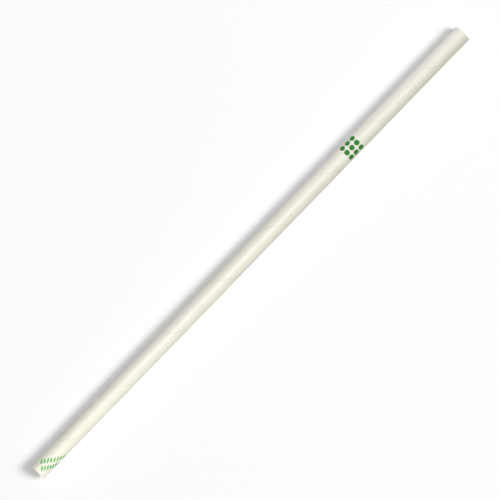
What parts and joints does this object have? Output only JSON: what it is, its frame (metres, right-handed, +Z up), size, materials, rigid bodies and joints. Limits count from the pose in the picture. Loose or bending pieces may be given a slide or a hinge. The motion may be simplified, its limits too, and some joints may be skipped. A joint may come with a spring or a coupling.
{
  "type": "paper drinking straw",
  "caption": "Straight paper drinking straw, an open tube wound in a spiral from glued paper strips, with square-cut ends and small green printed motifs on cream paper.",
  "frame": {"origin": "centre of the bounding box's bottom face: half-way along the straw, below its axis, where it touches the surface it lies on", "axes": "+X along the straw, from the end near the small printed rows to the plain end; +Z up from the surface it lies on; +Y completes the frame"},
  "size_m": [0.197, 0.006, 0.0059],
  "materials": {
    "straw_paper": "uncoated matt cream paper"
  },
  "bodies": {
    "root": {"straw_tube": "straw_paper"}
  },
  "joints": []
}
